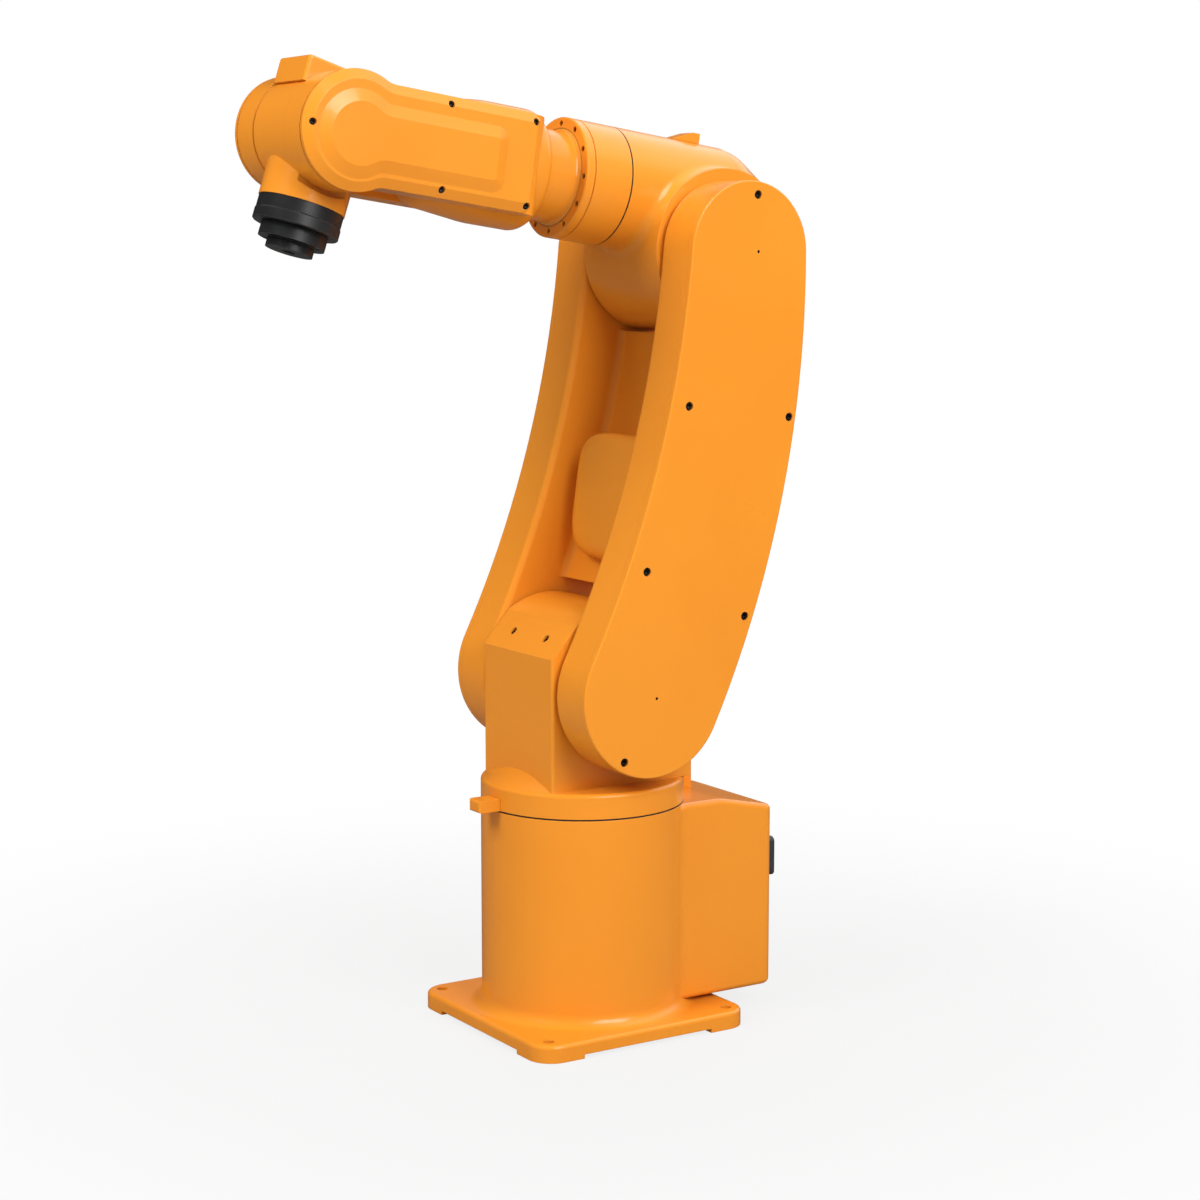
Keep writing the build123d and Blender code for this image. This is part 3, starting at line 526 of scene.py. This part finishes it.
# %% Black oxide
def joint_of(body):
    """Record of the joint that moves a body."""
    return next(joint for joint in frame["joints"] if joint["child"] == body)


TOOL_JOINT = joint_of("tool")
FINISHES["black_metal"] = make_finish(
    "black oxide", ((0.011, 0.0115, 0.012, 1), (0.016, 0.0165, 0.017, 1)), tone_scale=30.0,
    bump_depth=0.01 * MM, corner_radius=0.6 * MM, IOR=1.5,
    grain=dict(Scale=1500.0, Roughness=0.36, Roughness_Drift=0.16),
    circles=dict(joint=TOOL_JOINT, pitch=0.5 * MM, strength=0.35, colour=grey(0.03)),
    wear=dict(width=0.9 * MM, break_up=0.7, strength=0.5, colour=grey(0.2)))
print("turned about", [round(part, 3) for part in TOOL_JOINT["axis"]])

# %% [markdown]
# Ground steel shows only as thin rings in the seams, where one link turns on the next. It is bare metal, metallic
# and medium gloss, with grinding circles round the shoulder's cross axis, but its colour is far darker than bare
# steel: painted shade, so the rings read as the dark lines of the seams.

# %% Ground steel
SHOULDER_JOINT = joint_of("upper_arm")
# Tones far darker than bare steel: painted shade in the seams.
FINISHES["bearing_steel"] = make_finish(
    "ground steel and seam shade", ((0.08, 0.075, 0.07, 1), (0.045, 0.04, 0.035, 1)), tone_scale=40.0,
    bump_depth=0.008 * MM, corner_radius=0.4 * MM, Metallic=1.0,
    grain=dict(Scale=1200.0, Roughness=0.38, Roughness_Drift=0.2),
    circles=dict(joint=SHOULDER_JOINT, pitch=0.6 * MM, strength=0.5, colour=(0.14, 0.135, 0.13, 1)))
print("ground about", [round(part, 3) for part in SHOULDER_JOINT["axis"]])

# %% [markdown]
# The inlets on the rear panel: a moulded, glass-filled black shell for power and a nickel-plated shell
# for signals. The moulding gets a deep dry grain, the plating a shallow one and a little tarnish in its
# tone. Pins and screws are plated or blackened metal too, so they share the plating's recipe with their
# own colours.

# %% Inlet and screw finishes
def plated(name, tones, roughness, worn=grey(0.8)):
    """Bare or plated metal with a little tarnish, brighter on its edges."""
    return make_finish(
        name, tones, tone_scale=70.0, bump_depth=0.006 * MM, corner_radius=0.4 * MM, Metallic=1.0,
        grain=dict(Scale=1800.0, Roughness=roughness, Roughness_Drift=0.15),
        wear=dict(width=0.6 * MM, break_up=0.5, strength=0.5, colour=worn))


FINISHES["connector_plastic"] = make_finish(
    "moulded black", ((0.028, 0.028, 0.03, 1), (0.04, 0.04, 0.042, 1)), tone_scale=60.0,
    bump_depth=0.03 * MM, corner_radius=0.7 * MM,
    grain=dict(Scale=2200.0, Roughness=0.55, Roughness_Drift=0.15),
    wear=dict(width=0.8 * MM, break_up=0.8, strength=0.4, colour=grey(0.12)))
FINISHES["connector_metal"] = plated(
    "nickel plate", ((0.56, 0.55, 0.52, 1), (0.42, 0.41, 0.38, 1)), roughness=0.28)
BRASS = plated("brass", ((0.62, 0.44, 0.15, 1), (0.45, 0.3, 0.09, 1)), roughness=0.25)
# Blackened steel for the screws; on the tapped threads it is also painted shade in the holes.
SCREW_BLACK_AND_HOLE_SHADE = plated(
    "blackened screw and hole shade", ((0.035, 0.031, 0.028, 1), (0.02, 0.018, 0.016, 1)), roughness=0.42,
    worn=(0.09, 0.08, 0.07, 1))
SCREW_ZINC = plated("zinc screw", (grey(0.5), (0.38, 0.38, 0.39, 1)), roughness=0.34)
print("finishes:", sorted(FINISHES))

# %% [markdown]
# Dressing the solids. Each solid names its finish in the record, so one loop paints them all, and no
# solid moves. They could be painted one by one, but then a solid that is added later would stay bare.

# %% Paint the solids
for subpart in frame["record"]["subparts"]:
    solid = frame["nodes"][subpart["node"]].data
    solid.materials.clear()
    solid.materials.append(FINISHES[subpart["material_slot"]])

# %% [markdown]
# Screws. The covers have round pockets with flat floors, one for each screw. Their places could be typed
# in again, but the mesh already knows them: a flat patch with the area and the reach of a circle of that
# radius is a floor. Its middle and its normal are the screw's seat, which stays right if the arm's sizes
# change.

# %% Find pocket floors
FLAT = 0.99999
SLACK = 0.06
WELD = 0.001 * MM
SIDES = ("left", "right")
COVER_POCKET_R = 4.2 * MM
YOKE_POCKET_R = 3.2 * MM
RING_POCKET_R = 2.8 * MM
CENTRE_MARK_R = 1.5 * MM


def flat_patches(mesh):
    """Groups of joined faces that lie in one plane, each with its normal; a tag marks a face as grouped."""
    for face in mesh.faces:
        face.tag = False
    for seed in mesh.faces:
        if seed.tag:
            continue
        seed.tag = True
        patch = [seed]
        for face in patch:
            for other in (f for edge in face.edges for f in edge.link_faces):
                if not other.tag and other.normal.dot(seed.normal) > FLAT:
                    other.tag = True
                    patch.append(other)
        yield patch, seed.normal.copy()


def pocket_floors(node, radius):
    """Middle and outward normal of every flat round patch of that radius on a solid."""
    mesh = bmesh.new()
    mesh.from_mesh(frame["nodes"][node].data)
    bmesh.ops.remove_doubles(mesh, verts=mesh.verts, dist=WELD)
    floors = []
    for patch, normal in flat_patches(mesh):
        area = sum(face.calc_area() for face in patch)
        middle = sum((face.calc_center_median() * face.calc_area() for face in patch), Vector()) / area
        reach = max((corner.co - middle).length for face in patch for corner in face.verts)
        if abs(area / (math.pi * radius ** 2) - 1) < SLACK and abs(reach / radius - 1) < SLACK:
            floors.append((middle, normal))
    mesh.free()
    return floors


cover_seats = {side: pocket_floors(f"arm_cover_{side}", COVER_POCKET_R) for side in SIDES}
yoke_seats = {side: pocket_floors(f"forearm_cover_{side}", YOKE_POCKET_R) for side in SIDES}
mark_seats = {side: pocket_floors(f"arm_cover_{side}", CENTRE_MARK_R) for side in SIDES}
ring_seats = pocket_floors("forearm_flange_ring", RING_POCKET_R)
for seats in (cover_seats, yoke_seats, mark_seats):
    print("pockets:", {side: len(found) for side, found in seats.items()})
print("pockets in the flange ring:", len(ring_seats))

# %% [markdown]
# A socket-head screw is round outside and six-sided inside. It could be a cylinder with a boolean, which
# leaves long thin faces. Here it is a stack of rings joined by quads: the ring's radius is a formula of
# the angle, round for the head and six-sided for the socket, so the mesh stays even and its corners take
# the light.

# %% Ring stack
RING_STEPS = 36
SHARP_ANGLE = math.radians(35)


def circle(radius):
    """Radius of a circle, the same at every angle."""
    return lambda angle: radius


def hexagon(half_across_flats):
    """Radius of a hexagon at an angle."""
    sixth = math.pi / 3
    return lambda angle: half_across_flats / math.cos(angle % sixth - sixth / 2)


def polar(reach, angle, height):
    """Point at a distance and an angle round Z."""
    return Vector((reach * math.cos(angle), reach * math.sin(angle), height))


def ring_stack(mesh, place, rings, steps=RING_STEPS, closed=True):
    """Joins rings, given as (radius formula, height), with quads along a place's own Z."""
    angles = [2 * math.pi * step / steps for step in range(steps)]
    rows = [[mesh.verts.new(place @ polar(radius_at(angle), angle, height)) for angle in angles]
            for radius_at, height in rings]
    for lower, upper in zip(rows, rows[1:]):
        for step in range(steps):
            after = (step + 1) % steps
            mesh.faces.new((lower[step], lower[after], upper[after], upper[step]))
    if closed:
        mesh.faces.new(list(reversed(rows[0])))
        mesh.faces.new(rows[-1])


def seat_matrix(middle, normal, turn=0.0):
    """Place whose Z stands on a seat, turned about it."""
    upright = normal.to_track_quat("Z", "Y").to_matrix().to_4x4()
    return Matrix.Translation(middle) @ upright @ Matrix.Rotation(turn, 4, "Z")


def finish_piece(name, mesh, material, body):
    """Turns a built mesh, smooth between its sharp edges, into an object that rides on a body."""
    bmesh.ops.recalc_face_normals(mesh, faces=mesh.faces)
    for edge in mesh.edges:
        edge.smooth = edge.calc_face_angle(math.pi) < SHARP_ANGLE
    for face in mesh.faces:
        face.smooth = True
    piece = mesh_object(name, mesh, material)
    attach(piece, body)
    return piece


# %% [markdown]
# The screws themselves. Tightened screws end with their sockets turned every way, so each one is turned on
# from the last. Modelling each size by itself would repeat the same work: the proportions of a head are
# shares of its radius and height, so one function serves every size.

# %% Socket screws
HEAD_EDGE = 0.12
KEY_SIZE = 0.5
KEY_MOUTH = 1.1
KEY_DEPTH = 0.55
DRILL_SIZE, DRILL_DEPTH = 0.15, 0.3
SCREW_TURN = 0.7
COVER_HEAD = (3.7 * MM, 3.4 * MM)
YOKE_HEAD = (2.8 * MM, 2.7 * MM)
MARK_HEAD = (1.35 * MM, 1.5 * MM)
RING_HEAD = (2.45 * MM, 3.0 * MM)


def socket_screws(name, seats, head, body, material=SCREW_BLACK_AND_HOLE_SHADE):
    """Socket-head screws on their seats, joined in one piece, each turned its own way."""
    radius, height = head
    edge = HEAD_EDGE * radius
    key = KEY_SIZE * radius
    bottom = height - KEY_DEPTH * height
    profile = [(circle(radius), 0.0), (circle(radius), height - edge), (circle(radius - edge), height),
               (hexagon(KEY_MOUTH * key), height), (hexagon(key), height - edge / 2), (hexagon(key), bottom),
               (circle(DRILL_SIZE * key), bottom - DRILL_DEPTH * key)]
    mesh = bmesh.new()
    for count, (middle, normal) in enumerate(seats):
        ring_stack(mesh, seat_matrix(middle, normal, SCREW_TURN * count), profile)
    return finish_piece(name, mesh, material, body)


for side in SIDES:
    socket_screws(f"arm_cover_screws_{side}", cover_seats[side], COVER_HEAD, "upper_arm")
    socket_screws(f"forearm_cover_screws_{side}", yoke_seats[side], YOKE_HEAD, "forearm")
    socket_screws(f"centre_mark_screws_{side}", mark_seats[side], MARK_HEAD, "upper_arm")
socket_screws("flange_ring_screws", ring_seats, RING_HEAD, "forearm")
pocket_lists = (*cover_seats.values(), *yoke_seats.values(), *mark_seats.values(), ring_seats)
print("screws set:", sum(len(seats) for seats in pocket_lists))

# %% [markdown]
# Lip seals. The column's seam and the forearm's seam are open slots, and on the real arm a black rubber lip closes
# each, just below the paint. Here the lip is also painted shade: a dark material on the bearing behind would stay
# in shadow, so a near-black ring with its own lip draws the crisp dark line of shade that the seams have. Its
# place comes from the joint's axis and the solids beside it. The rubber is matt, darker than the moulded shells,
# and has no rubbed corners.

# %% Lip seals
LIP_BELOW = 0.08 * MM
LIP_CROWN = 0.1 * MM
SEAL_PLAY = 0.06 * MM
SEAM_NEAR = 2.0 * MM
SEAL_STEPS = 128
# Near-black rubber: the colour of a seal, and also the painted shade of the open seams.
SEAL_AND_SHADE_RUBBER = make_finish(
    "black rubber and seam shade", (grey(0.008), grey(0.013)), tone_scale=50.0,
    bump_depth=0.02 * MM, corner_radius=0.2 * MM, Specular_IOR_Level=0.3,
    grain=dict(Scale=1600.0, Roughness=0.6, Roughness_Drift=0.15))


def about_axis(node, joint):
    """Distance from a joint's axis and place along it, for every corner of a solid."""
    axis = Vector(joint["axis"]).normalized()
    offsets = [corner.co - Vector(joint["pos_m"]) for corner in frame["nodes"][node].data.vertices]
    return [((offset - axis * offset.dot(axis)).length, offset.dot(axis)) for offset in offsets]


def lip_seal_and_shade(name, bearing, beside, moving, body):
    """Rubber ring over a bearing, with a raised lip just inside the edge of the solid beside it."""
    joint = joint_of(moving)
    reaches, places = zip(*about_axis(bearing, joint))
    low, high = min(places), max(places)
    inner = max(reaches) - SEAL_PLAY
    edge = max(reach for reach, place in about_axis(beside, joint)
               if low - SEAM_NEAR < place < high + SEAM_NEAR)
    outer = edge - LIP_BELOW
    low, high = low + SEAL_PLAY, high - SEAL_PLAY
    rings = [(circle(inner), low), (circle(outer - LIP_CROWN), low), (circle(outer), (low + high) / 2),
             (circle(outer - LIP_CROWN), high), (circle(inner), high)]
    mesh = bmesh.new()
    place = seat_matrix(Vector(joint["pos_m"]), Vector(joint["axis"]))
    ring_stack(mesh, place, rings + rings[:1], SEAL_STEPS, closed=False)
    bmesh.ops.remove_doubles(mesh, verts=mesh.verts, dist=WELD)
    print(name, "radius", round(outer / MM, 2), "mm, width", round((high - low) / MM, 2), "mm")
    return finish_piece(name, mesh, SEAL_AND_SHADE_RUBBER, body)


# Both seals paint the dark shade line of the seams as well as closing them.
lip_seal_and_shade("swivel_seal_and_shade", "swivel_bearing", "turntable_casting", "turntable", "base")
lip_seal_and_shade("roll_seal_and_shade", "roll_bearing", "forearm_drum", "forearm", "elbow")

# %% [markdown]
# Screws on flat faces. The rear panel, the two inlets and the fixed stop are held by screws that stand on
# the face, with no pocket to find, so their seats come from each solid's own box: in from its edges, on
# its outer face.

# %% Screws on the rear panel
PANEL_INSET = (9.0 * MM, 9.0 * MM)
POWER_INSET = (3.5 * MM, 6.0 * MM)
SIGNAL_INSET = (5.0 * MM, 5.0 * MM)
FLANGE_THICK = 4.0 * MM
PANEL_HEAD = (4.0 * MM, 3.2 * MM)
INLET_HEAD = (2.6 * MM, 2.4 * MM)
STOP_HEAD = (3.6 * MM, 3.4 * MM)
BACKWARDS = Vector((-1, 0, 0))
UPWARDS = Vector((0, 0, 1))


def corner_seats(node, face_x, inset):
    """Seats in the four corners of a solid's box, on a face that looks backwards."""
    low, high = (Vector(corner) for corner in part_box(node))
    return [(Vector((face_x, y, z)), BACKWARDS)
            for y in (low.y + inset[0], high.y - inset[0])
            for z in (low.z + inset[1], high.z - inset[1])]


panel_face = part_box("rear_panel")[0][0]
flange_face = panel_face - FLANGE_THICK
panel_seats = corner_seats("rear_panel", panel_face, PANEL_INSET)
power_seats = corner_seats("power_inlet", flange_face, POWER_INSET)
signal_seats = corner_seats("signal_inlet", flange_face, SIGNAL_INSET)
for name, seats, head in (("rear_panel_screws", panel_seats, PANEL_HEAD),
                          ("power_inlet_screws", power_seats, INLET_HEAD),
                          ("signal_inlet_screws", signal_seats, INLET_HEAD)):
    socket_screws(name, seats, head, "base", SCREW_ZINC)
stop_low, stop_high = (Vector(corner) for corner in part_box("swivel_stop_block"))
stop_seat = Vector(((stop_low.x + stop_high.x) / 2, 0, stop_high.z))
socket_screws("swivel_stop_screw", [(stop_seat, UPWARDS)], STOP_HEAD, "base")
print("screws on faces:", len(panel_seats + power_seats + signal_seats) + 1)

# %% [markdown]
# Inside each inlet sits an insulator with brass pins. An insulator is a moulded plug with a raised rim
# and a round or oblong outline. A rounded oblong has a formula too, a circle whose power is higher than
# two, so the same ring stack makes both, and each pin is a small stack with a domed tip. An insulator's
# profile is a list of insets in millimetres and shares of its height. A pin's tip is a list of shares of
# its radius: how wide, and how far below the top.

# %% Insulators and pins
OBLONG_POWER = 9.0
INSULATOR_PROFILE = ((0.0, 0.0), (0.0, 0.7), (1.0, 0.76), (1.0, 0.94),
                     (1.6, 1.0), (2.4, 1.0), (2.8, 0.9))
DISH_FLOOR = INSULATOR_PROFILE[-1][1]
PIN_TIP = ((1.0, 1.0), (0.75, 0.35), (0.3, 0.0))
PIN_STEPS = 12


def oblong(half_long, half_tall, power=OBLONG_POWER):
    """Radius of a rounded oblong at an angle; a lower power gives rounder corners."""
    return lambda angle: ((abs(math.cos(angle)) / half_long) ** power
                          + (abs(math.sin(angle)) / half_tall) ** power) ** (-1 / power)


def insulator(name, seat, outline, height, steps):
    """Moulded plug that stands on a seat: an outline with a narrower step and a shallow dish on top."""
    mesh = bmesh.new()
    rings = [(outline(inset * MM), share * height) for inset, share in INSULATOR_PROFILE]
    ring_stack(mesh, seat, rings, steps)
    return finish_piece(name, mesh, FINISHES["connector_plastic"], "base")


def contact_pins(name, seat, spots, radius, base, length):
    """Round pins with domed tips, at (x, y) spots of a seat."""
    tip = [(circle(wide * radius), base + length - below * radius) for wide, below in PIN_TIP]
    mesh = bmesh.new()
    for x, y in spots:
        ring_stack(mesh, seat @ Matrix.Translation((x, y, 0)), [(circle(radius), base), *tip], PIN_STEPS)
    print(name, len(spots))
    return finish_piece(name, mesh, BRASS, "base")


def inlet_seat(node, face_x):
    """Place at the middle of an inlet's shell, on a face that looks backwards."""
    low, high = (Vector(corner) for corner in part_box(node))
    return seat_matrix(Vector((face_x, 0, (low.z + high.z) / 2)), BACKWARDS)


# %% [markdown]
# The power inlet is a heavy-duty oblong plug with two rows of pins. The rows are a loop over columns, so
# their number and pitch can change without moving a pin by hand.

# %% Power inlet insert
INSERT_HALF_LONG, INSERT_HALF_TALL = 33.0 * MM, 12.5 * MM
INSERT_HEIGHT = 6.0 * MM
INSERT_STEPS = 120
POWER_COLUMNS = 8
POWER_PITCH, POWER_ROW = 7.0 * MM, 5.0 * MM
POWER_PIN_R, POWER_PIN_LENGTH = 1.25 * MM, 7.0 * MM

power_seat = inlet_seat("power_inlet", flange_face)
insulator("power_insulator", power_seat,
          lambda inset: oblong(INSERT_HALF_LONG - inset, INSERT_HALF_TALL - inset),
          INSERT_HEIGHT, INSERT_STEPS)
power_spots = [(POWER_PITCH * (column - (POWER_COLUMNS - 1) / 2), row)
               for column in range(POWER_COLUMNS) for row in (-POWER_ROW, POWER_ROW)]
contact_pins("power_pins", power_seat, power_spots, POWER_PIN_R,
             DISH_FLOOR * INSERT_HEIGHT, POWER_PIN_LENGTH)

# %% [markdown]
# The signal inlet is a round plug at the bottom of its shell, with two rings of finer pins. Each ring is
# a radius and a number of pins.

# %% Signal inlet insert
SIGNAL_FLOOR = 8.0 * MM
PLUG_R, PLUG_HEIGHT = 12.6 * MM, 4.0 * MM
PLUG_STEPS = 48
PIN_RINGS = ((8.2 * MM, 12), (4.2 * MM, 6))
SIGNAL_PIN_R, SIGNAL_PIN_LENGTH = 0.8 * MM, 5.0 * MM

signal_seat = inlet_seat("signal_inlet", panel_face - SIGNAL_FLOOR)
insulator("signal_insulator", signal_seat, lambda inset: circle(PLUG_R - inset), PLUG_HEIGHT, PLUG_STEPS)
signal_spots = [polar(ring_r, 2 * math.pi * step / count, 0.0).xy
                for ring_r, count in PIN_RINGS for step in range(count)]
contact_pins("signal_pins", signal_seat, signal_spots, SIGNAL_PIN_R,
             DISH_FLOOR * PLUG_HEIGHT, SIGNAL_PIN_LENGTH)

# %% [markdown]
# The elbow motor's housing stands in the recess, against the near cheek. The real one is a soft casting:
# large round corners on its free side, rounded front edges, and a front that leans back towards the
# shoulder. A box with bevels would need a different bevel for every edge, so it is a stack of rounded
# outlines again, as large as the plain solid that it stands for. What lies beyond the cheek's inner wall
# is pressed flat against it.

# %% Motor housing
HOUSING_POWER = 4.6
HOUSING_EDGE_R = 15.0 * MM
HOUSING_PAST_WALL = 40.0 * MM
HOUSING_LEAN = math.tan(math.radians(8.0))
EDGE_STEPS = 6
HOUSING_STEPS = 120


def arm_place():
    """Place on the shoulder's axis with X across the upper arm, Y along it and Z to its front."""
    shoulder = Vector(SHOULDER_JOINT["pos_m"])
    along = (Vector(joint_of("elbow")["pos_m"]) - shoulder).normalized()
    across = Vector((0, 1, 0))
    turned = Matrix((across, along, across.cross(along))).transposed().to_4x4()
    return Matrix.Translation(shoulder) @ turned


def housing_rings(half, depth):
    """Rounded outlines from the back of the housing to its front, drawn in over the rounded front edge."""
    rings = [(oblong(*half, HOUSING_POWER), 0.0)]
    for step in range(EDGE_STEPS + 1):
        turn = math.pi / 2 * step / EDGE_STEPS
        inset = HOUSING_EDGE_R * (1 - math.cos(turn))
        height = depth - HOUSING_EDGE_R * (1 - math.sin(turn))
        rings.append((oblong(half.x - inset, half.y - inset, HOUSING_POWER), height))
    return rings


def motor_housing():
    """Rounded housing in the space of its plain solid, which it replaces."""
    place = arm_place()
    solid = frame["nodes"]["elbow_motor_housing"].data
    corners = [place.inverted() @ corner.co for corner in solid.vertices]
    low = Vector([min(corner[axis] for corner in corners) for axis in range(3)])
    high = Vector([max(corner[axis] for corner in corners) for axis in range(3)])
    depth = high.z - low.z
    half = Vector((high.x + HOUSING_PAST_WALL - low.x, high.y - low.y)) / 2
    middle = Vector((low.x + half.x, low.y + half.y, low.z))
    mesh = bmesh.new()
    ring_stack(mesh, Matrix.Translation(middle), housing_rings(half, depth), HOUSING_STEPS)
    for corner in mesh.verts:
        share = (corner.co.z - low.z) / depth
        corner.co.z -= share * HOUSING_LEAN * (high.y - corner.co.y)
        corner.co.x = min(corner.co.x, high.x)
        corner.co = place @ corner.co
    print("motor housing", [round((end - start) / MM) for start, end in zip(low, high)], "mm")
    return finish_piece("elbow_motor_cover", mesh, FINISHES["orange_paint"], "upper_arm")


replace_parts(motor_housing(), "elbow_motor_housing")

# %% [markdown]
# Threads. The two service holes above the shoulder and the four holes of the tool flange are tapped. Bump lines
# could fake a thread, but its crest catches the light at the mouth, so each is a real helix: a three-sided ridge
# swept round the wall, with closed ends. The holes' own floors say where they are and which way they open. The
# ridge's depth and half its foot are shares of the pitch. The ridges take the screws' blackened finish: partly the
# colour of a phosphated insert, partly painted shade that makes the holes read dark.

# %% Threads
THREAD_STEPS = 20
RIDGE_DEPTH, RIDGE_HALF_FOOT = 0.54, 0.44
SERVICE_THREAD = dict(radius=4.0 * MM, length=13.0 * MM, pitch=1.25 * MM)
TOOL_THREAD = dict(radius=2.5 * MM, length=8.6 * MM, pitch=0.8 * MM)


def thread(mesh, place, radius, length, pitch):
    """Ridge that climbs the wall of a hole from its floor along the place's own Z."""
    profile = ((0.0, -RIDGE_HALF_FOOT), (RIDGE_DEPTH, 0.0), (0.0, RIDGE_HALF_FOOT))
    sections = []
    for step in range(int((length - pitch) / pitch * THREAD_STEPS)):
        angle = 2 * math.pi * step / THREAD_STEPS
        climb = 0.5 + step / THREAD_STEPS
        points = [polar(radius - inward * pitch, angle, (climb + rise) * pitch) for inward, rise in profile]
        sections.append([mesh.verts.new(place @ point) for point in points])
    for before, after in zip(sections, sections[1:]):
        for corner in range(3):
            mesh.faces.new((before[corner], before[corner - 1], after[corner - 1], after[corner]))
    mesh.faces.new(sections[0])
    mesh.faces.new(reversed(sections[-1]))


def tapped_holes(name, node, body, size):
    """Threads for every blind hole of a size in a solid, joined in one piece."""
    floors = pocket_floors(node, size["radius"])
    mesh = bmesh.new()
    for middle, normal in floors:
        thread(mesh, seat_matrix(middle, normal), **size)
    print(name, len(floors), "holes")
    # The blackened ridges are painted shade in the holes as well as an insert's colour.
    return finish_piece(name, mesh, SCREW_BLACK_AND_HOLE_SHADE, body)


tapped_holes("service_threads", "turntable_casting", "turntable", SERVICE_THREAD)
tapped_holes("tool_threads", "tool_flange", "tool", TOOL_THREAD)
